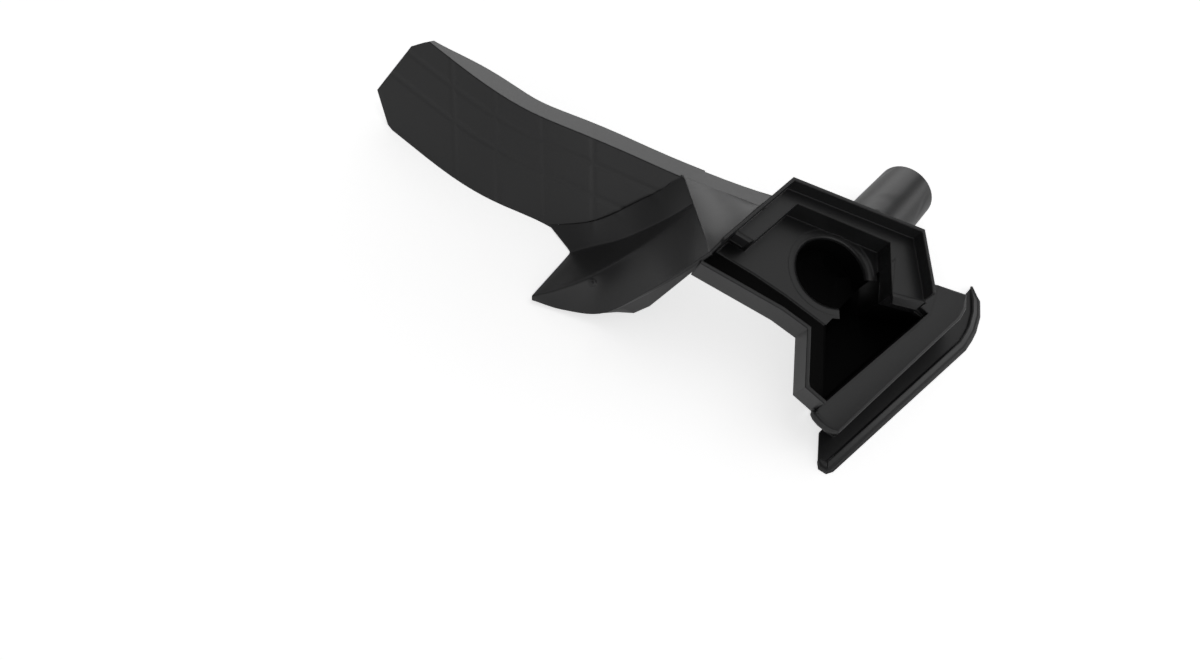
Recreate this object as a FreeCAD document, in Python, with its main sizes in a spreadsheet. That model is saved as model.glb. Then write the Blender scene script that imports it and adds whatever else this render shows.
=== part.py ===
# Mulching plug of a walk-behind mower: one injection moulding in black plastic.
# A hollow tray closes the discharge chute, a round grip stands on its back, and a long
# curved tongue carries on the wall of the cutting deck. The plug is modelled as it lies
# on a bench, open side up, on its flange, the recess floor, the tongue's foot and the grip.

import FreeCAD, Part
import math
import os
from FreeCAD import Vector

os.makedirs("parts", exist_ok=True)
doc = FreeCAD.newDocument("mulching_plug")

SIZES = {
    # middle of the plug's footprint, which becomes the part's origin
    "centre_x": 2.217,
    "centre_y": -7.887,
    # walls
    "wall": 2.2,
    "sheet_wall": 2.4,
    "lip_wall": 1.8,
    "rib_wall": 1.8,
    # tray
    "tray_x": 97.3,
    "tray_y": -46.5,
    "tray_z": 41.8,
    "tilt_front": 14.7,
    "tilt_side": 9.8,
    "rim_height": 20.0,
    "lip_height": 33.0,
    "end_wall_height": 6.0,
    "end_wall_round": 2.0,
    "draw_depth": 90.0,
    # hand grip and its mouth
    "mouth_u": -4.7,
    "mouth_v": 10.2,
    "mouth_long": 25.5,
    "mouth_short": 22.3,
    "mouth_turn": -45.0,
    "mouth_flare": 2.0,
    "cup_depth": 24.0,
    "grip_root_radius": 20.5,
    "grip_tip_radius": 17.8,
    "grip_length": 97.0,
    "grip_wall": 2.6,
    "cap_height": 5.0,
    "cap_radius": 13.5,
    "grip_flat": 15.4,
    "grip_flat_turn": 35.0,
    "grip_azimuth": 53.5,
    "grip_dip": 16.8,
    # tongue
    "tongue_height": 60.0,
    "tongue_slope": 0.375,
    "shelf_high": 46.0,
    "shelf_low": 29.0,
    # foot flange
    "flange_wall": 2.2,
}

sheet = doc.addObject("Spreadsheet::Sheet", "Sizes")
for row, (alias, value) in enumerate(SIZES.items(), start=1):
    sheet.set("A%d" % row, alias)
    sheet.set("B%d" % row, str(value))
    sheet.setAlias("B%d" % row, alias)
doc.recompute()


def size(alias):
    return float(sheet.get(alias))


def feature(name, shape, placement=None):
    item = doc.addObject("Part::Feature", name)
    item.Shape = shape
    if placement:
        item.Placement = placement
    return item


def fused(name, items):
    item = doc.addObject("Part::MultiFuse", name)
    item.Shapes = items
    item.Refine = True
    return item


def cut(name, base, tool):
    item = doc.addObject("Part::Cut", name)
    item.Base = base
    item.Tool = tool
    return item


def common(name, items):
    item = doc.addObject("Part::MultiCommon", name)
    item.Shapes = items
    return item


# The tray's own frame: its z axis is the mould's draw direction, square to the deck.

tray_turn = FreeCAD.Rotation(Vector(1, 0, 0), size("tilt_front")).multiply(
    FreeCAD.Rotation(Vector(0, 1, 0), size("tilt_side"))
)
tray_place = FreeCAD.Placement(
    Vector(size("tray_x"), size("tray_y"), size("tray_z")), tray_turn
)


def slab(name, points, low, high, placement=tray_place):
    """A closed outline drawn in the given frame and extruded from low to high."""
    sketch = doc.addObject("Sketcher::SketchObject", name + "_outline")
    sketch.Placement = placement
    ends = points[1:] + points[:1]
    for start, end in zip(points, ends):
        sketch.addGeometry(Part.LineSegment(Vector(*start, 0), Vector(*end, 0)), False)
    item = doc.addObject("Part::Extrusion", name)
    item.Base = sketch
    item.DirMode = "Normal"
    item.Solid = True
    item.setExpression("LengthFwd", high)
    item.setExpression("LengthRev", "-(%s)" % low)
    return item


def beside(points, width):
    """The points of an open line moved sideways, to its left, by a width."""
    moved = []
    for i, (u, v) in enumerate(points):
        before = points[max(i - 1, 0)]
        after = points[min(i + 1, len(points) - 1)]
        sides = []
        for (au, av), (bu, bv) in ((before, (u, v)), ((u, v), after)):
            run = math.hypot(bu - au, bv - av)
            if run > 0:
                sides.append(Vector(-(bv - av) / run, (bu - au) / run, 0))
        normal = sum(sides[1:], sides[0])
        normal.normalize()
        reach = width / (normal * sides[0])
        moved.append((u + normal.x * reach, v + normal.y * reach))
    return moved


def strip(points, width):
    """The closed outline of a wall that follows an open line on its left side."""
    return points + beside(points, width)[::-1]


# Tray: corner points seen along the draw direction, in millimetres.

LOWER_EDGE = [(-87.0, 5.5), (-41.0, -19.0), (-27.0, -28.8), (-29.5, -61.8), (-19.0, -70.8)]
RIM_ENDS = [(43.5, -11.0), (-67.0, 26.4)]
LIP_EDGE = [(43.45, -9.125), (43.3, -3.5), (39.3, 27.9), (-36.0, 54.3), (-77.5, 16.9)]
RIM_EDGE = [(-56.0, 20.0), (-30.1, 43.4), (23.6, 23.5), (23.4, -6.3)]
END_WALL_INNER = [(-18.5, -71.0), (50.0, -13.2), (44.0, -8.0), (42.6, 3.0)]
RECESS = [
    (26.4, 14.5), (-9.4, -21.2), (-12.0, -62.2), (-16.445, -69.266), (48.63, -14.356),
    RIM_ENDS[0], RIM_EDGE[3],
]
END_WALL_OUTER = [
    (56.7, 4.6), (74.7, -0.5), (74.0, -9.0), (70.0, -15.5), (62.7, -21.8),
    (-5.7, -83.7), (-10.5, -84.2), (-15.0, -81.5), (-21.1, -74.5),
]

deck = slab("deck", LOWER_EDGE + [(49.0, -14.0)] + LIP_EDGE, "-Sizes.wall", "0")
lower_wall = slab("lower_wall", strip(LOWER_EDGE, size("wall")), "-Sizes.wall", "Sizes.rim_height")
rim_outline = [RIM_ENDS[0]] + LIP_EDGE[1:4] + [RIM_ENDS[1]] + RIM_EDGE
rim = slab("rim", rim_outline, "-Sizes.wall", "Sizes.rim_height")
lip = slab("lip", strip(LIP_EDGE, size("lip_wall")), "-Sizes.wall", "Sizes.lip_height")
end_wall_outline = END_WALL_INNER + END_WALL_OUTER
end_wall = slab("end_wall", end_wall_outline, "-Sizes.draw_depth", "Sizes.end_wall_height")
WELL = [
    (28.6, 16.0), (-11.0, -20.0), (-14.2, -62.0), (-18.6, -71.3), (-17.9, -71.8),
    (50.6, -14.0), (46.0, -9.0), (26.0, -4.5),
]
well = slab("well", WELL, "-Sizes.draw_depth", "0")

# The rim and the end wall are hollow from below, so their walls stay even.
rim_hollow_outer = beside(LIP_EDGE[1:4], size("lip_wall"))
rim_hollow_inner = beside([(-56.0, 20.0), (-30.9, 43.9), (27.0, 25.4), (27.2, -3.0)], size("wall"))
rim_hollow = slab(
    "rim_hollow", rim_hollow_outer + rim_hollow_inner, "-Sizes.wall - 1", "Sizes.rim_height - Sizes.wall"
)
END_HOLLOW = [
    (-13.0, -71.0), (51.0, -17.0), (54.0, -8.0), (56.0, 1.5), (71.5, -2.6), (70.5, -10.0),
    (60.5, -20.5), (-7.0, -81.0), (-12.0, -80.0), (-17.5, -74.8),
]
end_hollow = slab(
    "end_hollow", END_HOLLOW, "-Sizes.draw_depth - 1", "Sizes.end_wall_height - Sizes.wall"
)

# The recess keeps a floor at bench level, and nothing goes below the bench.
above_floor = doc.addObject("Part::Box", "above_floor")
above_floor.Length = 500
above_floor.Width = 500
above_floor.Height = 300
above_floor.Placement.Base = Vector(-250, -250, 0)
above_floor.setExpression("Placement.Base.z", "Sizes.wall")
below_bench = doc.addObject("Part::Box", "below_bench")
below_bench.Length = 600
below_bench.Width = 600
below_bench.Height = 200
below_bench.Placement.Base = Vector(-300, -300, -200)

recess_shaft = slab("recess_shaft", RECESS, "-Sizes.draw_depth - 1", "Sizes.lip_height")
recess = common("recess", [recess_shaft, above_floor])

# The end wall's outer top edge is rounded, and its left end is drafted inwards.
doc.recompute()
end_wall_round = doc.addObject("Part::Fillet", "end_wall_round")
end_wall_round.Base = end_wall
rounded = []
inverse = tray_place.inverse()
inner_ends = [Vector(u, v, size("end_wall_height")) for u, v in END_WALL_INNER]
for number, edge in enumerate(end_wall.Shape.Edges, start=1):
    ends = [inverse.multVec(vertex.Point) for vertex in edge.Vertexes]
    on_top = all(abs(end.z - size("end_wall_height")) < 0.01 for end in ends)
    inner = any((end - corner).Length < 0.01 for end in ends for corner in inner_ends)
    if on_top and not inner:
        rounded.append((number, size("end_wall_round"), size("end_wall_round")))
end_wall_round.Edges = rounded
END_TRIM = [
    (-21.6, -72.9), (-14.2, -80.2), (-5.7, -84.2), (0.0, -120.0), (-80.0, -120.0),
    (-80.0, -64.0), (-24.0, -66.0),
]
END_DRAFT = Vector(0.159, 0.411, -0.898)
end_trim = doc.addObject("Part::Extrusion", "end_trim")
end_trim_outline = doc.addObject("Sketcher::SketchObject", "end_trim_outline")
end_trim_outline.Placement = tray_place.multiply(FreeCAD.Placement(Vector(0, 0, 6), FreeCAD.Rotation()))
for start, end in zip(END_TRIM, END_TRIM[1:] + END_TRIM[:1]):
    end_trim_outline.addGeometry(Part.LineSegment(Vector(*start, 0), Vector(*end, 0)), False)
end_trim.Base = end_trim_outline
end_trim.DirMode = "Custom"
end_trim.Dir = END_DRAFT
end_trim.Solid = True
end_trim.LengthFwd = 150
end_wall_cut = cut("end_wall_cut", end_wall_round, end_trim)
well_cut = cut("well_cut", well, end_trim)
tray_solid = fused("tray_solid", [deck, lower_wall, rim, lip, end_wall_cut, well_cut])
tray_hollows = fused("tray_hollows", [rim_hollow, end_hollow])
tray_shell = cut("tray_shell", tray_solid, tray_hollows)
lip_again = slab("lip_skirt", strip(LIP_EDGE, size("lip_wall")), "-Sizes.wall", "Sizes.rim_height")

# Hand grip: a hollow tapered tube that opens into the tray through an oval mouth.

mouth_centre = tray_place.multVec(Vector(size("mouth_u"), size("mouth_v"), 0))
azimuth = math.radians(size("grip_azimuth"))
dip = math.radians(size("grip_dip"))
grip_axis = Vector(
    math.cos(dip) * math.cos(azimuth), math.cos(dip) * math.sin(azimuth), -math.sin(dip)
)
grip_turn = FreeCAD.Rotation(Vector(0, 0, 1), grip_axis)
grip_place = FreeCAD.Placement(mouth_centre, grip_turn)
cap_place = FreeCAD.Placement(mouth_centre + grip_axis * size("grip_length"), grip_turn)


def cone(name, root, tip, height, placement):
    item = doc.addObject("Part::Cone", name)
    item.setExpression("Radius1", root)
    item.setExpression("Radius2", tip)
    item.setExpression("Height", height)
    item.Placement = placement
    return item


def oval(name, grow, low, high):
    ring = doc.addObject("Part::Ellipse", name + "_outline")
    ring.setExpression("MajorRadius", "Sizes.mouth_long + %s" % grow)
    ring.setExpression("MinorRadius", "Sizes.mouth_short + %s" % grow)
    ring.Placement = FreeCAD.Placement(
        mouth_centre, tray_turn.multiply(FreeCAD.Rotation(Vector(0, 0, 1), size("mouth_turn")))
    )
    item = doc.addObject("Part::Extrusion", name)
    item.Base = ring
    item.DirMode = "Normal"
    item.Solid = True
    item.setExpression("LengthFwd", high)
    item.setExpression("LengthRev", "-(%s)" % low)
    return item


grip_body = cone(
    "grip_body", "Sizes.grip_root_radius", "Sizes.grip_tip_radius", "Sizes.grip_length", grip_place
)
grip_cap = cone("grip_cap", "Sizes.grip_tip_radius", "Sizes.cap_radius", "Sizes.cap_height", cap_place)
grip_full = fused("grip_full", [grip_body, grip_cap])
# A flat runs along the grip on its upper side, from clear of the tray to the cap.
upward = Vector(0, 0, 1) - grip_axis * grip_axis.z
upward.normalize()
upward = FreeCAD.Rotation(grip_axis, size("grip_flat_turn")).multVec(upward)
sideways = upward.cross(grip_axis)
flat_turn = FreeCAD.Rotation(sideways, grip_axis, upward, "ZXY")
flat_cutter = doc.addObject("Part::Box", "flat_cutter")
flat_cutter.Length = 60
flat_cutter.Width = 90
flat_cutter.Height = 20
flat_cutter.Placement = FreeCAD.Placement(
    mouth_centre + grip_axis * 45 + upward * size("grip_flat") - sideways * 30, flat_turn
)
grip_flatted = cut("grip_flatted", grip_full, flat_cutter)
# The grip stops at the tray, and its bore stops short of the ledge's step.
above_deck_outline = [
    (-86.0, 8.0), (-41.0, -17.0), (-25.0, -28.0), (-27.0, -60.0), (-17.0, -69.0), (49.0, -14.0),
    (23.4, -6.3), (23.6, 23.5), (-30.1, 43.4), (-56.0, 20.0),
]
above_deck = slab("above_deck", above_deck_outline, "-Sizes.wall", "Sizes.lip_height")
grip_outside = cut("grip_outside", grip_flatted, above_deck)
cup_outside = oval("cup_outside", "Sizes.wall", "-Sizes.cup_depth", "0")
cup_inside = oval("cup_inside", "0", "-Sizes.cup_depth + Sizes.wall", "Sizes.wall")
# The mouth's edge is flared where the deck meets the cup.
flare_rings = []
for grow, height in ((size("mouth_flare"), 0.2), (0.2, -size("wall"))):
    turn = tray_turn.multiply(FreeCAD.Rotation(Vector(0, 0, 1), size("mouth_turn")))
    ring = Part.Ellipse(Vector(), size("mouth_long") + grow, size("mouth_short") + grow).toShape()
    centre = tray_place.multVec(Vector(size("mouth_u"), size("mouth_v"), height))
    ring.Placement = FreeCAD.Placement(centre, turn)
    flare_rings.append(Part.Wire(ring))
mouth_flare = feature("mouth_flare", Part.makeLoft(flare_rings, True, True))
bore_full = cone(
    "bore_full",
    "Sizes.grip_root_radius - Sizes.grip_wall",
    "Sizes.grip_tip_radius - Sizes.grip_wall",
    "Sizes.grip_length",
    grip_place,
)
bore_guard_outline = [
    (-86.0, 8.0), (-41.0, -17.0), (-25.0, -28.0), (-27.0, -60.0), (-17.0, -69.0), (49.0, -14.0),
    (29.4, -6.3), (29.2, 27.2), (-31.5, 46.4), (-58.0, 22.0),
]
bore_guard = slab("bore_guard", bore_guard_outline, "-Sizes.wall", "Sizes.lip_height")
bore = cut("bore", bore_full, bore_guard)

# Foot flange: a flat plate with rounded corners that lies on the bench outside the end wall.

FLANGE = [
    (85.4, -117.8), (83.5, -134.9), (84.5, -139.0), (88.0, -141.5), (91.0, -140.4),
    (175.8, -62.8), (183.3, -51.0), (187.0, -40.8), (188.3, -30.4), (185.6, -20.7),
    (180.0, -27.0), (150.0, -50.0),
]
flange = slab("flange", FLANGE, "0", "Sizes.flange_wall", FreeCAD.Placement())


# Curved walls: each is a sheet of even thickness between two edge lines.

def curved_wall(name, edge, far_edge, inward, ruled=False, near=0, far=0):
    wall = size("sheet_wall")
    rings = []
    for i, (start, end) in enumerate(zip(edge, far_edge)):
        run = Vector(*end) - Vector(*start)
        run.normalize()
        a, b = Vector(*start) - run * near, Vector(*end) + run * far
        j, k = max(i - 1, 0), min(i + 1, len(edge) - 1)
        along = (Vector(*edge[k]) + Vector(*far_edge[k])) - (Vector(*edge[j]) + Vector(*far_edge[j]))
        normal = (b - a).cross(along)
        normal.normalize()
        if normal * Vector(*inward) < 0:
            normal = normal * -1
        back = normal * wall
        rings.append(Part.makePolygon([a, b, b + back, a + back, a]))
    return feature(name, Part.makeLoft(rings, True, ruled))


BRIM = [(-81, -31, 3), (-62, -38, 3.5), (-38, -45, 12), (-13, -50, 46), (6, -50, 70), (20, -46, 82)]
RIDGE = [(-81, -29, 5), (-67, -30, 13), (-44, -28, 27), (-23, -20, 38), (3, -8, 53), (15, -1, 64)]
wing = curved_wall("wing", BRIM, RIDGE, (0.3, 0.3, -0.9), True)
SHOULDER_BRIM = [(20, -46, 82), (34, -34, 88.5), (50, -19, 90.5)]
SHOULDER_FOLD = [(9, 19, 60), (29, 9, 61), (56, -5, 62)]
shoulder = curved_wall("shoulder", SHOULDER_BRIM, SHOULDER_FOLD, (0.3, 0.3, -0.9))
GROOVE_LOW = [(-81, -29, 5), (-60, -30, 17), (-40, -26, 29), (-23, -20, 38), (3, -8, 53), (15, -1, 64)]
GROOVE_HIGH = [(-58, 4, 1), (-46, 3, 9), (-30, 0, 21), (-17, -1, 32), (1, 0, 47), (15, 1, 61)]
groove = curved_wall("groove", GROOVE_LOW, GROOVE_HIGH, (0.3, 0.3, -0.9), True, 0, 1.5)
BAND_FACE = [(-71, 23, 1), (-50, 17, 13), (-36, 14, 24), (-20, 14, 38), (-4, 16, 50), (8, 20, 60)]
band = curved_wall("band", GROOVE_HIGH, BAND_FACE, (0.5, 0.5, -0.5), True, 1.5, 1.0)
SKIRT_HIGH = [(-38, -45, 12), (-29, -46, 22), (-13, -50, 46), (6, -50, 70), (20, -46, 82)]
SKIRT_LOW = [(-30, -41, 6), (-20, -45, 12), (-11, -46, 22), (2, -48, 48), (16, -48, 72)]
skirt = curved_wall("skirt", SKIRT_HIGH, SKIRT_LOW, (0.0, 1.0, 0.0), True)
RAIL_FRONT = [(13, 16.5, 60), (29, 9, 61), (56, -5, 62)]
RAIL_BACK = [(13, 31.5, 54), (35, 20, 55), (60, 9, 56)]
rail = curved_wall("rail", RAIL_FRONT, RAIL_BACK, (0, 0, -1))

# Tongue: a leaning wall with an S curve, open at the back and stiffened by ribs.

STATION_X = [-192, -160, -140, -113, -79, -49, -20, 6, 22]
FOOT_Y = [114.5, 84, 66, 46, 28, 9, -7, -21, -30]
TOP_Y = [164.5, 134, 115, 90, 64.8, 49.3, 34, 19.8, 11.8]
BACK_DEPTH = [3, 3, 6, 17, 16, 16, 16, 16, 16]
FOOT_DEPTH = [3, 3, 5, 15, 17, 17, 17, 17, 17]


def tongue_ring(i, inset, opening, low):
    high = size("tongue_height")
    lean = (TOP_Y[i] - FOOT_Y[i]) / high
    fall = size("tongue_slope")
    back = BACK_DEPTH[i] + opening
    corners = [
        (FOOT_Y[i] + lean * low + inset, low),
        (TOP_Y[i] + inset * (1 - lean), high - inset),
        (TOP_Y[i] + back, high - inset - back * fall),
        (FOOT_Y[i] + FOOT_DEPTH[i] + opening, low),
    ]
    points = [Vector(STATION_X[i], y, z) for y, z in corners]
    return Part.makePolygon(points + points[:1])


stations = range(len(STATION_X))
below = -size("wall")
wall = size("sheet_wall")
tongue_full = feature("tongue_full", Part.makeLoft([tongue_ring(i, 0, 0, below) for i in stations], True))
tongue_void = feature("tongue_void", Part.makeLoft([tongue_ring(i, wall, 12, wall) for i in stations], True))

rib_boxes = []
for index, rib_x in enumerate([-132, -105, -75, -45, -24]):
    rib_box = doc.addObject("Part::Box", "rib_%d" % (index + 1))
    rib_box.setExpression("Length", "Sizes.rib_wall")
    rib_box.Width = 300
    rib_box.Height = 100
    rib_box.Placement.Base = Vector(rib_x, -100, -10)
    rib_boxes.append(rib_box)
for shelf_alias in ("shelf_low", "shelf_high"):
    shelf = doc.addObject("Part::Box", shelf_alias + "_box")
    shelf.Length = 300
    shelf.Width = 300
    shelf.setExpression("Height", "Sizes.rib_wall")
    shelf.Placement.Base = Vector(-200, -100, 0)
    shelf.setExpression("Placement.Base.z", "Sizes." + shelf_alias)
    rib_boxes.append(shelf)
rib_grid = fused("rib_grid", rib_boxes)
tongue_hollow = cut("tongue_hollow", tongue_void, rib_grid)

# The tip is a plain sheet with its corners cut off.
TIP_ALONG = Vector(0.80, -0.60, 0)
TIP_UP = Vector(0.3385, 0.4514, 0.8256)
tip_turn = FreeCAD.Rotation(TIP_ALONG, TIP_UP, TIP_ALONG.cross(TIP_UP), "XYZ")
tip_place = FreeCAD.Placement(Vector(-160, 78, 0), tip_turn)
TIP_OUTLINE = [
    (-43.5, 22.5), (-28.0, 5.5), (-14.8, 0.8), (0, -5.5), (0, -60), (320, -60), (320, 200),
    (-9, 200), (-9, 77), (-17.8, 70.7), (-26.2, 63.6),
]
tip_keep = slab("tip_keep", TIP_OUTLINE, "-200", "200", tip_place)
tongue_block = common("tongue_block", [tongue_full, tip_keep])
upright = FreeCAD.Placement(Vector(0, 100, 0), FreeCAD.Rotation(Vector(1, 0, 0), 90))
ROOT_TRIM = [(-22, -10), (-22, 16), (8, 44), (40, 44), (40, -10)]
root_trim = slab("root_trim", ROOT_TRIM, "-50", "200", upright)
tongue_trimmed = cut("tongue_trimmed", tongue_block, root_trim)
tongue_open = cut("tongue_open", tongue_trimmed, tongue_hollow)

# Everything is joined, and then the bench, the recess, the mouth and the bore are cut in turn.
walls = [wing, shoulder, groove, band, skirt, rail]
plug_raw = fused(
    "plug_raw", [tray_shell, lip_again, grip_outside, cup_outside, flange] + walls + [tongue_open]
)
plug_flat = cut("plug_flat", plug_raw, below_bench)
plug_recess = cut("plug_recess", plug_flat, recess)
plug_mouth = cut("plug_mouth", plug_recess, cup_inside)
plug_flare = cut("plug_flare", plug_mouth, mouth_flare)
plug = cut("plug", plug_flare, bore)
plug.Label = "mulching_plug"
plug.setExpression("Placement.Base.x", "-Sizes.centre_x")
plug.setExpression("Placement.Base.y", "-Sizes.centre_y")
doc.recompute()

for item in doc.Objects:
    if "Invalid" in item.State or "Error" in item.State:
        raise RuntimeError("%s failed: %s" % (item.Name, item.State))
shape = plug.Shape
if shape.isNull() or not shape.isValid():
    raise RuntimeError("the plug's shape is not valid")
print("solids", len(shape.Solids), "volume", round(shape.Volume))
print("box", shape.optimalBoundingBox(False))
shape.exportStep("parts/mulching_plug.step")
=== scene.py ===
import math

import bmesh
import bpy
from mathutils import Matrix, Vector
from mathutils.bvhtree import BVHTree
from mathutils.kdtree import KDTree


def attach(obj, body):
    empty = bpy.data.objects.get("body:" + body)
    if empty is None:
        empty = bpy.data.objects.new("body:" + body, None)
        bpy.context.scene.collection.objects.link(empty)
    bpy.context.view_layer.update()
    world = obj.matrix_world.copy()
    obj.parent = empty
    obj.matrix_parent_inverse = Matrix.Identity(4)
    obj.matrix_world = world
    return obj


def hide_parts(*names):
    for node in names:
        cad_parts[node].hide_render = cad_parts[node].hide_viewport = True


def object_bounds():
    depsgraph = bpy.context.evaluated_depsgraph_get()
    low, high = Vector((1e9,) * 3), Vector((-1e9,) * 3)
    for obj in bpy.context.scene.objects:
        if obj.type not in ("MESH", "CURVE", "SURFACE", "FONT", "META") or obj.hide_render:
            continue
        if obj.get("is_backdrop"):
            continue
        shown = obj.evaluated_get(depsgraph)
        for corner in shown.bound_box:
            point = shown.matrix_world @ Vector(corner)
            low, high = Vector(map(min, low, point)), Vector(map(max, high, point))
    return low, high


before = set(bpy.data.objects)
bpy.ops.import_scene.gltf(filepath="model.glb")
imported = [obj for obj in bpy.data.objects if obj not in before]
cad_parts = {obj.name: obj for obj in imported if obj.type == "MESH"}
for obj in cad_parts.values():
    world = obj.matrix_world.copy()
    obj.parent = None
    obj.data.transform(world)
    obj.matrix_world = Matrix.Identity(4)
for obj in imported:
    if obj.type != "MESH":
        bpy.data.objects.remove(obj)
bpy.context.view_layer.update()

# Mulching plug: one injection moulding in black polypropylene.
# Made in a two-part mould, so every edge has a small radius, the walls show faint sink
# marks over the ribs behind them, and the skin has the soft gloss of an as-moulded part.

MERGE = 0.00001
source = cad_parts["mulching_plug"]
mesh = source.data.copy()
mesh.name = "plug"
mesh.materials.clear()
shell = bmesh.new()
shell.from_mesh(mesh)
bmesh.ops.remove_doubles(shell, verts=shell.verts, dist=MERGE)
bmesh.ops.recalc_face_normals(shell, faces=shell.faces)

# The wing, its valley and its band are flowing walls. The straight-sided ones of the frame
# come out here, and one smooth wall with soft creases goes in along the same lines. Their
# points are in millimetres, and ORIGIN moves them to the part's own origin.
MM = 1000
ORIGIN = Vector((-2.217, 7.887, 0))
BRIM = [(-81, -31, 3), (-62, -38, 3.5), (-38, -45, 12), (-13, -50, 46), (6, -50, 70), (20, -46, 82)]
RIDGE = [(-81, -29, 5), (-67, -30, 13), (-44, -28, 27), (-23, -20, 38), (3, -8, 53), (15, -1, 64)]
RIDGE_LOW = [RIDGE[0], (-60, -30, 17), (-40, -26, 29)] + RIDGE[3:]
VALLEY = [(-58, 4, 1), (-46, 3, 9), (-30, 0, 21), (-17, -1, 32), (1, 0, 47), (15, 1, 61)]
BAND = [(-71, 23, 1), (-50, 17, 13), (-36, 14, 24), (-20, 14, 38), (-4, 16, 50), (8, 20, 60)]
SHEET_WALL = 2.4
SPANS = len(BRIM) - 1
SAMPLES_ALONG, SAMPLES_ACROSS = 20, 40
ON_WALL = 0.0014
samples = []
for edge, far_edge in ((BRIM, RIDGE), (RIDGE_LOW, VALLEY), (VALLEY, BAND)):
    for i in range(SPANS):
        a, b = Vector(edge[i]), Vector(edge[i + 1])
        c, d = Vector(far_edge[i]), Vector(far_edge[i + 1])
        back = (c - a).cross(b - a).normalized() * SHEET_WALL
        if back.z > 0:
            back = -back
        for j in range(SAMPLES_ALONG + 1):
            start, end = a.lerp(b, j / SAMPLES_ALONG), c.lerp(d, j / SAMPLES_ALONG)
            for k in range(-1, SAMPLES_ACROSS + 2):
                point = start.lerp(end, k / SAMPLES_ACROSS)
                samples.append((point + ORIGIN) / MM)
                samples.append((point + back + ORIGIN) / MM)
tree = KDTree(len(samples))
for number, point in enumerate(samples):
    tree.insert(point, number)
tree.balance()
taken = [
    face
    for face in shell.faces
    if all(tree.find(vertex.co)[2] < ON_WALL for vertex in face.verts)
    and tree.find(face.calc_center_median())[2] < ON_WALL
]
bmesh.ops.delete(shell, geom=taken, context="FACES")

# Each of the four lines becomes a smooth curve through its own points.
STEPS = 10
curves = []
for line in (BRIM, RIDGE, VALLEY, BAND):
    knots = [Vector(point) for point in line]
    knots = [knots[0] * 2 - knots[1]] + knots + [knots[-1] * 2 - knots[-2]]
    curve = []
    for i in range(SPANS):
        a, b, c, d = knots[i : i + 4]
        bend = a * 2 - b * 5 + c * 4 - d
        twist = b * 3 - a - c * 3 + d
        for j in range(STEPS + (i == SPANS - 1)):
            t = j / STEPS
            curve.append((b * 2 + (c - a) * t + bend * t**2 + twist * t**3) / 2)
    curves.append(curve)

# Across them the wall runs straight, with a round crease at the ridge and in the valley.
WING_PARTS = (0, 0.05, 0.2, 0.35, 0.5, 0.65, 0.78, 0.88)
VALLEY_PARTS = (0.14, 0.3, 0.5, 0.7, 0.85)
BAND_PARTS = (0.16, 0.4, 0.65, 0.9, 1.05)
CREASE_PARTS = (0.25, 0.5, 0.75)


def lay_sheet(target, lines):
    """Faces between neighbouring lines of vertices, each line as long as the next."""
    for left, right in zip(lines, lines[1:]):
        for i in range(len(left) - 1):
            target.faces.new((left[i], right[i], right[i + 1], left[i + 1]))


sheet = bmesh.new()
columns = []
for brim, ridge, valley, band in zip(*curves):
    points = []
    for near, fold, far, parts, crease_start, crease_end in (
        (brim, ridge, valley, WING_PARTS, 0.94, 0.08),
        (ridge, valley, band, VALLEY_PARTS, 0.93, 0.09),
    ):
        points += [near.lerp(fold, part) for part in parts]
        start, end = near.lerp(fold, crease_start), fold.lerp(far, crease_end)
        points += [start.lerp(fold, t).lerp(fold.lerp(end, t), t) for t in CREASE_PARTS]
    points += [valley.lerp(band, part) for part in BAND_PARTS]
    columns.append([sheet.verts.new((point + ORIGIN) / MM) for point in points])
lay_sheet(sheet, columns)
sheet.normal_update()
if sum((face.normal for face in sheet.faces), Vector()).z < 0:
    bmesh.ops.reverse_faces(sheet, faces=sheet.faces)
bmesh.ops.solidify(sheet, geom=sheet.faces[:], thickness=SHEET_WALL / MM)
flowing_wall = bpy.data.meshes.new("flowing_wall")
sheet.to_mesh(flowing_wall)
sheet.free()
shell.from_mesh(flowing_wall)

# The end wall is a rounded bar with a blunt nose, and its skirt leans in to the flange.
# Its points are in the tray's own tilted frame, and TRAY takes them out of it.
TILT = Matrix.Rotation(math.radians(14.7), 4, "X") @ Matrix.Rotation(math.radians(9.8), 4, "Y")
TRAY = Matrix.Translation((Vector((97.3, -46.5, 41.8)) + ORIGIN) / MM) @ TILT
BAR = [
    (56.5, 4.8), (66, 2.4), (74.9, -0.3), (74.6, -5), (73, -10.5), (69.5, -16), (62.9, -22.1),
    (40, -42.8), (17, -63.5), (-5.5, -84.0), (-9.5, -84.2), (-13.5, -82.6), (-17.5, -79.4),
    (-20.3, -76.2), (-21.4, -73.6), (-20.8, -71.4), (-18.6, -70.6), (10, -46.6), (30, -29.8),
    (49.8, -13.1),
]
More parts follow.
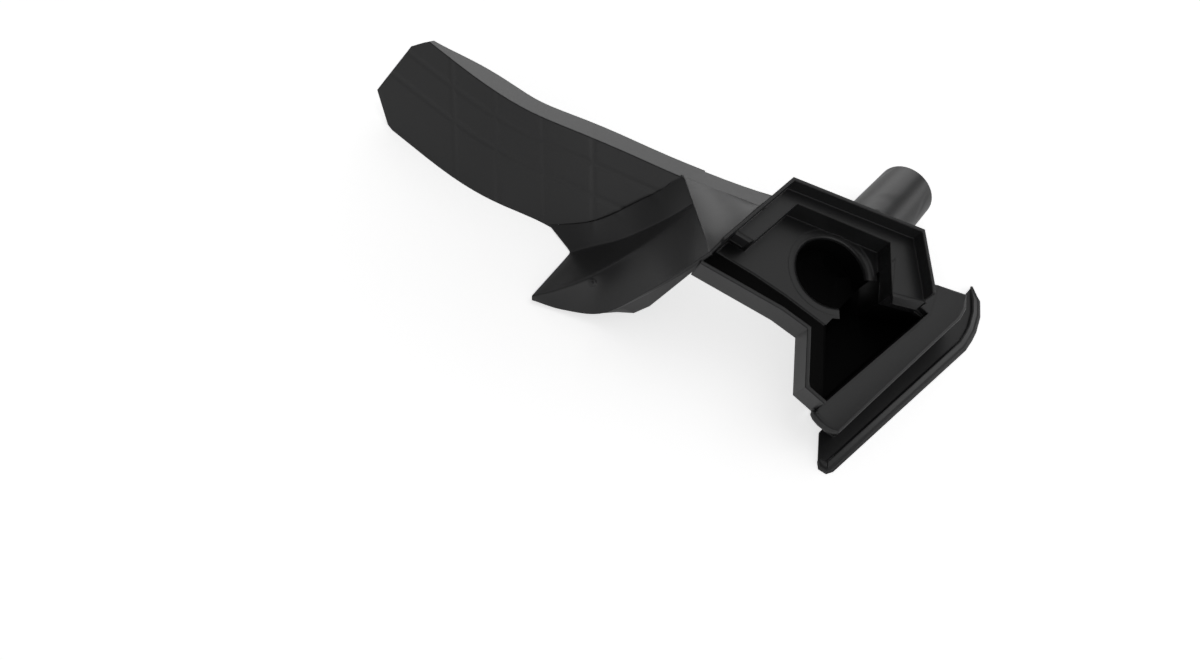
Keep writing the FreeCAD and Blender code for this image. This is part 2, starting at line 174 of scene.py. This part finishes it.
# Each ring's inset from the outline, its level over the deck, and its drop from that level in
# metres, where None is down to the flange. Near the nose the drop follows the line of sight.
BAR_RINGS = [
    (3.2, 6.35, 0), (1.9, 6.15, 0), (0.9, 5.4, 0), (0.3, 4.2, 0), (0.0, 2.6, 0),
    (-0.1, 2.6, 0.0066), (-0.1, 2.6, None),
]
SIGHT = Vector((0.159, 0.411, -0.898))
LEAN_FROM, LEAN_OVER = 2, 12
SKIRT_FOOT = 0.0012
draw_down = TILT.to_3x3() @ Vector((0, 0, -1))
bar = bmesh.new()
rings = []
for inset, level, drop in BAR_RINGS:
    ring = []
    for i, (u, v) in enumerate(BAR):
        before, after = BAR[i - 1], BAR[(i + 1) % len(BAR)]
        side = Vector((after[1] - before[1], before[0] - after[0])).normalized()
        spot = TRAY @ (Vector((u + side.x * inset, v + side.y * inset, level)) / MM)
        lean = min(max((LEAN_FROM - u) / LEAN_OVER, 0), 1)
        fall = draw_down.lerp(SIGHT, lean)
        fall_depth = spot.z - SKIRT_FOOT if drop is None else drop
        spot += fall * (fall_depth / -fall.z)
        ring.append(bar.verts.new(spot))
    rings.append(ring)
for upper, lower in zip(rings, rings[1:]):
    for i in range(len(BAR)):
        j = (i + 1) % len(BAR)
        bar.faces.new((upper[i], upper[j], lower[j], lower[i]))
bar.faces.new(rings[0])
bmesh.ops.recalc_face_normals(bar, faces=bar.faces)
end_bar = bpy.data.meshes.new("end_bar")
bar.to_mesh(end_bar)
bar.free()
shell.from_mesh(end_bar)
first_laid = len(shell.faces)

# The mouth's edge rolls over from the deck into the cup in one soft round. It stops where
# the recess cuts it. A profile point is its way out from the mouth's outline and its rise
# over the deck.
MOUTH = Vector((-4.7, 10.2, 0))
MOUTH_LONG, MOUTH_SHORT = 25.5, 22.3
LONG_WAY, SHORT_WAY = Vector((0.7071, -0.7071, 0)), Vector((0.7071, 0.7071, 0))
ROLL = [
    (3.4, -0.02), (2.2, 0.04), (-1.2, 0.06), (-2.2, -0.25), (-2.9, -0.8),
    (-3.4, -1.7), (-3.6, -2.8), (-3.9, -6), (-4.6, -21),
]
ROLL_START, ROLL_TURN, ROLL_STEPS = 40, 280, 60
hoops = []
for i in range(ROLL_STEPS + 1):
    turn = math.radians(ROLL_START + ROLL_TURN * i / ROLL_STEPS)
    cosine, sine = math.cos(turn), math.sin(turn)
    outward = (LONG_WAY * (cosine / MOUTH_LONG) + SHORT_WAY * (sine / MOUTH_SHORT)).normalized()
    on_edge = MOUTH + LONG_WAY * (MOUTH_LONG * cosine) + SHORT_WAY * (MOUTH_SHORT * sine)
    hoop = []
    for out, rise in ROLL:
        spot = on_edge + outward * out + Vector((0, 0, rise))
        hoop.append(shell.verts.new(TRAY @ (spot / MM)))
    hoops.append(hoop)
lay_sheet(shell, hoops)

# The flange has a raised edge, with its long side slanted outwards. It fades at both ends.
# The flange lies on the bench, so these points are in the part's frame and not the tray's.
FOOT = [
    (83.5, -134.9), (84.5, -139.0), (88.0, -141.5), (91.0, -140.4), (175.8, -62.8),
    (180.2, -56.5), (183.3, -51.0), (187.0, -40.8), (188.3, -30.4), (185.6, -20.7),
]
EDGE = [(5.2, 2.1), (4.6, 4.2), (3.8, 4.7), (-1.2, 0.3), (-1.3, 0.05)]
END_FADE = 0.25
beads = []
for i, (x, y) in enumerate(FOOT):
    before, after = Vector(FOOT[max(i - 1, 0)]), Vector(FOOT[min(i + 1, len(FOOT) - 1)])
    inward = Vector((before.y - after.y, after.x - before.x)).normalized()
    fade = END_FADE if i in (0, len(FOOT) - 1) else 1
    bead = []
    for reach, level in EDGE:
        inset = inward * (reach * fade)
        spot = Vector((x + inset.x, y + inset.y, level * (0.5 + fade / 2)))
        bead.append(shell.verts.new((spot + ORIGIN) / MM))
    beads.append(bead)
lay_sheet(shell, beads)

# The ledge's two arms end in rounded blocks. Each profile point has its reach past the arm's
# end, its level, and its share of the trims that narrow the block at its two corners.
LEFT_END, RIGHT_END = [(-68.0, 27.0), (-56.2, 20.2)], [(23.2, -5.6), (42.6, -9.6)]
END_PROFILE = [
    (-0.3, 20.1, 0), (0.4, 20.0, 0), (1.8, 19.0, 0.3), (4.6, 13.6, 1), (3.8, 12.4, 1), (-1, 11.5, 1),
]
for (start, end), outward, (start_trim, end_trim) in (
    (LEFT_END, (-0.75, -0.66), (0, 1.5)),
    (RIGHT_END, (0.05, -1.0), (2.0, 3.5)),
):
    start, end, outward = Vector((*start, 0)), Vector((*end, 0)), Vector((*outward, 0))
    length = (end - start).normalized()
    levels = []
    for reach, level, share in END_PROFILE:
        rise = Vector((0, 0, level))
        first = start + outward * reach + length * (start_trim * share) + rise
        last = end + outward * reach - length * (end_trim * share) + rise
        levels.append([shell.verts.new(TRAY @ (point / MM)) for point in (first, last)])
    for (a, b), (c, d) in zip(levels, levels[1:]):
        shell.faces.new((a, b, d, c))
    shell.faces.new([a for a, b in levels])
    shell.faces.new([b for a, b in reversed(levels)])

# The ledge's right arm is one even plate up to its straight inner step.
ARM = [(23.5, 23.6), (37.7, 27.2), (41.5, -3.6), (41.8, -9.6), (23.2, -5.5)]
ARM_TOP, ARM_FOOT = 20.08, 2.0
tops, feet = [
    [shell.verts.new(TRAY @ (Vector((u, v, level)) / MM)) for u, v in ARM]
    for level in (ARM_TOP, ARM_FOOT)
]
shell.faces.new(tops)
shell.faces.new((tops[0], tops[-1], feet[-1], feet[0]))

# A gutter runs along the tray's low side, in the shade of the wall; that shade is painted on with the
# near-black painted-shade skin.
GUTTER = [(-71.8, 19.5), (-50.3, 7.2), (-32.5, -4.2), (-9.6, -21.0), (-12.1, -63.0)]
BESIDE = [(-85.6, 9.0), (-58.0, -7.6), (-40.0, -17.0), (-24.9, -27.6), (-17.8, -68.6)]
GUTTER_TOP, GUTTER_FOOT = 0.7, 0.15
CREASE_WIDE, CREASE_DEEP = 1.2, 0.5
gutter = []
for (u1, v1), (u2, v2) in zip(GUTTER, BESIDE):
    low_side = Vector((u2 - u1, v2 - v1, 0)).normalized()
    top, foot = Vector((u1, v1, GUTTER_TOP)), Vector((u2, v2, GUTTER_FOOT))
    crease = top + low_side * CREASE_WIDE - Vector((0, 0, CREASE_DEEP))
    gutter.append([shell.verts.new(TRAY @ (point / MM)) for point in (top, crease, foot)])
painted_shade_faces = []
for left, right in zip(gutter, gutter[1:]):
    crease_face = shell.faces.new((left[0], left[1], right[1], right[0]))
    if right is gutter[-1]:
        painted_shade_faces.append(crease_face)
    painted_shade_faces.append(shell.faces.new((left[1], left[2], right[2], right[1])))

# The faces laid since the end wall are single skins. They are turned towards the camera, so
# that the rounded edges shade evenly on them.
EYE = Vector((-0.04222, -0.44211, 0.734))
CAMERA_TILT = math.radians(28.6)
shell.normal_update()
shell.faces.ensure_lookup_table()
for face in shell.faces[first_laid:]:
    if face.normal.dot(EYE - face.calc_center_median()) < 0:
        face.normal_flip()

# The gate's round scar on the wing: a low pad with the broken stub in its middle.
GATE_LOOK = Vector((-0.0052, 0.0339, -1))
PAD, STUB = (0.0024, 0.0021, 0.0010), (0.0010, 0.0007, 0.0028)
look = Matrix.Rotation(CAMERA_TILT, 3, "X") @ GATE_LOOK
spot, facing, _, _ = BVHTree.FromBMesh(shell).ray_cast(EYE, look)
if facing.dot(look) > 0:
    facing = -facing
stand = Matrix.Translation(spot) @ facing.to_track_quat("Z", "Y").to_matrix().to_4x4()
for radius, top, depth in (PAD, STUB):
    bmesh.ops.create_cone(
        shell, cap_ends=True, segments=24, radius1=radius, radius2=top, depth=depth, matrix=stand
    )

# What shows through the mouth and the recess gets a painted shade: a near-black, rougher skin that
# stands in for the unlit pocket below the deck.
# The walls round the recess are cut just below the deck, so that the painted shade starts there.
WELL = [
    (26.4, 14.5), (-9.4, -21.2), (-12.0, -62.2), (-16.4, -69.3), (48.6, -14.4),
    (43.5, -11.0), (23.4, -6.3),
]
POCKET_TOP = -0.003
POCKET_LONG, POCKET_SHORT = 22.5, 19.3
RECESS_LEFT, RECESS_RIGHT, RECESS_FRONT, RECESS_BACK = -20, 52, -75, 20
inverse = TRAY.inverted()
eye_there = inverse @ EYE
walls_there = []
for face in shell.faces:
    local = inverse @ face.calc_center_median() * MM
    if RECESS_LEFT < local.x < RECESS_RIGHT and RECESS_FRONT < local.y < RECESS_BACK:
        walls_there += [face, *face.edges, *face.verts]
bmesh.ops.bisect_plane(
    shell,
    geom=list(dict.fromkeys(walls_there)),
    plane_co=TRAY @ Vector((0, 0, POCKET_TOP)),
    plane_no=TRAY.to_3x3() @ Vector((0, 0, 1)),
)
shell.normal_update()
for face in shell.faces:
    face.smooth = True
    centre = face.calc_center_median()
    local = inverse @ centre
    if local.z > POCKET_TOP or face.normal.dot(EYE - centre) < 0:
        continue
    for point in [local] + [inverse @ vertex.co for vertex in face.verts]:
        # where the line of sight to the point crosses the deck
        spot = eye_there.lerp(point, eye_there.z / (eye_there.z - point.z)) * MM
        reach = spot - MOUTH
        across = reach.dot(LONG_WAY) / POCKET_LONG, reach.dot(SHORT_WAY) / POCKET_SHORT
        through = math.hypot(*across) < 1
        for (u1, v1), (u2, v2) in zip(WELL, WELL[1:] + WELL[:1]):
            if (v1 > spot.y) != (v2 > spot.y) and spot.x < (u2 - u1) * (spot.y - v1) / (v2 - v1) + u1:
                through = not through
        # Faces seen through the mouth or the recess get the painted-shade skin.
        if through:
            face.material_index = 1
# The gutter's faces take the painted-shade skin as well.
for face in painted_shade_faces:
    face.material_index = 1
SHARP_FROM = math.radians(24)
for edge in shell.edges:
    edge.smooth = len(edge.link_faces) == 2 and edge.calc_face_angle(0.0) < SHARP_FROM
shell.to_mesh(mesh)
shell.free()
plug = bpy.data.objects.new("plug", mesh)
plug.matrix_world = source.matrix_world.copy()
bpy.context.scene.collection.objects.link(plug)

# Skin: satin black, with rounded edges.
skin = bpy.data.materials.new("black_plastic")
skin.use_nodes = True
nodes, links = skin.node_tree.nodes, skin.node_tree.links
shader = nodes["Principled BSDF"]
shader.inputs["Base Color"].default_value = (0.016, 0.016, 0.0167, 1)
shader.inputs["Roughness"].default_value = 0.34
shader.inputs["IOR"].default_value = 1.49
place = nodes.new("ShaderNodeTexCoord")
rounding = nodes.new("ShaderNodeBevel")
rounding.samples = 8
rounding.inputs["Radius"].default_value = 0.0011

# Sink marks: shallow dips in the tongue's face where the ribs stand behind it.
SINK_HALF = 0.0028
axes = nodes.new("ShaderNodeSeparateXYZ")
links.new(place.outputs["Object"], axes.inputs["Vector"])
sunk = nodes.new("ShaderNodeMath")
sunk.operation = "MULTIPLY"
both = nodes.new("ShaderNodeMath")
both.operation = "MINIMUM"
for number, (axis, ribs, low_end, high_end) in enumerate((
    ("X", (-0.1333, -0.1063, -0.0763, -0.0463), -0.20, 0.0),
    ("Z", (0.0299, 0.0469), 0.0, 0.10),
)):
    spread = nodes.new("ShaderNodeMapRange")
    spread.inputs["From Min"].default_value = low_end
    spread.inputs["From Max"].default_value = high_end
    links.new(axes.outputs[axis], spread.inputs["Value"])
    ramp = nodes.new("ShaderNodeValToRGB")
    ramp.color_ramp.interpolation = "EASE"
    for stop in ramp.color_ramp.elements:
        stop.color = (1, 1, 1, 1)
    side = SINK_HALF / (high_end - low_end)
    for rib in ribs:
        middle = (rib - low_end) / (high_end - low_end)
        for offset, level in ((-side, 1.0), (0.0, 0.0), (side, 1.0)):
            stop = ramp.color_ramp.elements.new(middle + offset)
            stop.color = (level, level, level, 1)
    links.new(spread.outputs["Result"], ramp.inputs["Fac"])
    links.new(ramp.outputs["Color"], both.inputs[number])
on_tongue = nodes.new("ShaderNodeMapRange")
on_tongue.inputs["From Min"].default_value = 0.016
on_tongue.inputs["From Max"].default_value = 0.026
links.new(axes.outputs["Y"], on_tongue.inputs["Value"])
links.new(on_tongue.outputs["Result"], sunk.inputs[0])
links.new(both.outputs["Value"], sunk.inputs[1])

# A soft swell of the walls and a fine grain, on top of the sink marks.
reliefs = [(sunk.outputs["Value"], 0.5, 0.0004)]
for scale, detail, strength, distance in ((22, 1, 0.25, 0.0012), (1400, 3, 0.12, 0.0002)):
    noise = nodes.new("ShaderNodeTexNoise")
    noise.inputs["Scale"].default_value = scale
    noise.inputs["Detail"].default_value = detail
    links.new(place.outputs["Object"], noise.inputs["Vector"])
    reliefs.append((noise.outputs["Fac"], strength, distance))
normal = rounding.outputs["Normal"]
for relief, strength, distance in reliefs:
    bump = nodes.new("ShaderNodeBump")
    bump.inputs["Strength"].default_value = strength
    bump.inputs["Distance"].default_value = distance
    links.new(relief, bump.inputs["Height"])
    links.new(normal, bump.inputs["Normal"])
    normal = bump.outputs["Normal"]
links.new(normal, shader.inputs["Normal"])
mesh.materials.append(skin)

# Painted shade: a near-black, rough, weakly glossy skin standing in for the shade in the pocket, the
# recess and the gutter.
painted_shade = bpy.data.materials.new("black_plastic_painted_shade")
painted_shade.use_nodes = True
painted_shade_shader = painted_shade.node_tree.nodes["Principled BSDF"]
painted_shade_shader.inputs["Base Color"].default_value = (0.002, 0.002, 0.002, 1)
painted_shade_shader.inputs["Roughness"].default_value = 0.7
painted_shade_shader.inputs["Specular IOR Level"].default_value = 0.12
mesh.materials.append(painted_shade)
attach(plug, "root")
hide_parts("mulching_plug")

# Floor: a plain white bench top.
# It shows as white to the camera and takes the plug's own soft shadow. The lift that makes
# it white is seen in part by the plug's gloss, and adds no matt light to the plug.

FLOOR_LIFT, GLOSS_SHARE = 0.64, 0.25
bpy.ops.mesh.primitive_plane_add(size=6, location=(0, 0, 0))
floor = bpy.context.object
floor.name = "floor"
white = bpy.data.materials.new("white_floor")
white.use_nodes = True
white_nodes, white_links = white.node_tree.nodes, white.node_tree.links
white_shader = white_nodes["Principled BSDF"]
white_shader.inputs["Base Color"].default_value = (0.92, 0.92, 0.92, 1)
white_shader.inputs["Roughness"].default_value = 0.9
white_shader.inputs["Specular IOR Level"].default_value = 0.1
ray = white_nodes.new("ShaderNodeLightPath")
seen = white_nodes.new("ShaderNodeMath")
seen.operation = "MULTIPLY_ADD"
seen.inputs[1].default_value = GLOSS_SHARE
white_links.new(ray.outputs["Is Glossy Ray"], seen.inputs[0])
white_links.new(ray.outputs["Is Camera Ray"], seen.inputs[2])
lift = white_nodes.new("ShaderNodeMath")
lift.operation = "MULTIPLY"
lift.inputs[1].default_value = FLOOR_LIFT
white_links.new(seen.outputs["Value"], lift.inputs[0])
white_shader.inputs["Emission Color"].default_value = (1, 1, 1, 1)
white_links.new(lift.outputs["Value"], white_shader.inputs["Emission Strength"])
floor.data.materials.append(white)
floor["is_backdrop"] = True

# Light: a white studio tent, brighter near the bench, with soft boxes behind, above and in
# front of the plug and two weak ones at its right.
# The camera looks down at the plug from the front, as in the photograph.

world = bpy.data.worlds.new("tent")
bpy.context.scene.world = world
world.use_nodes = True
world_nodes, world_links = world.node_tree.nodes, world.node_tree.links
sky = world_nodes["Background"]
way = world_nodes.new("ShaderNodeTexCoord")
height = world_nodes.new("ShaderNodeSeparateXYZ")
dome = world_nodes.new("ShaderNodeValToRGB")
for stop, (position, level) in zip(dome.color_ramp.elements, ((0.0, 0.8), (0.45, 0.2))):
    stop.position = position
    stop.color = (level, level, level, 1)
world_links.new(way.outputs["Generated"], height.inputs["Vector"])
world_links.new(height.outputs["Z"], dome.inputs["Fac"])
world_links.new(dome.outputs["Color"], sky.inputs["Color"])
sky.inputs["Strength"].default_value = 0.9

for name, spot, wide, high, power in (
    ("back_box", (0.15, 1.7, 0.45), 2.6, 0.8, 10),
    ("top_box", (0.65, 0.25, 1.45), 1.3, 1.3, 4),
    ("front_box", (-0.3, -1.7, 0.6), 2.4, 0.7, 4.4),
    ("side_card", (1.6, 0.5, 0.2), 0.7, 0.4, 1.2),
    ("right_box", (1.4, -0.25, 0.5), 1.0, 0.7, 2.5),
):
    box = bpy.data.lights.new(name, "AREA")
    box.shape = "RECTANGLE"
    box.size, box.size_y = wide, high
    box.energy = power
    lamp = bpy.data.objects.new(name, box)
    lamp.location = spot
    lamp.rotation_mode = "QUATERNION"
    lamp.rotation_quaternion = (-lamp.location).to_track_quat("-Z", "Y")
    bpy.context.scene.collection.objects.link(lamp)

lens = bpy.data.cameras.new("camera")
lens.sensor_width = 36
lens.lens = 42
camera = bpy.data.objects.new("camera", lens)
camera.location = EYE
camera.rotation_euler = (CAMERA_TILT, 0, 0)
bpy.context.scene.collection.objects.link(camera)
bpy.context.scene.camera = camera
bpy.context.scene.view_settings.view_transform = "Standard"

low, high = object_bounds()
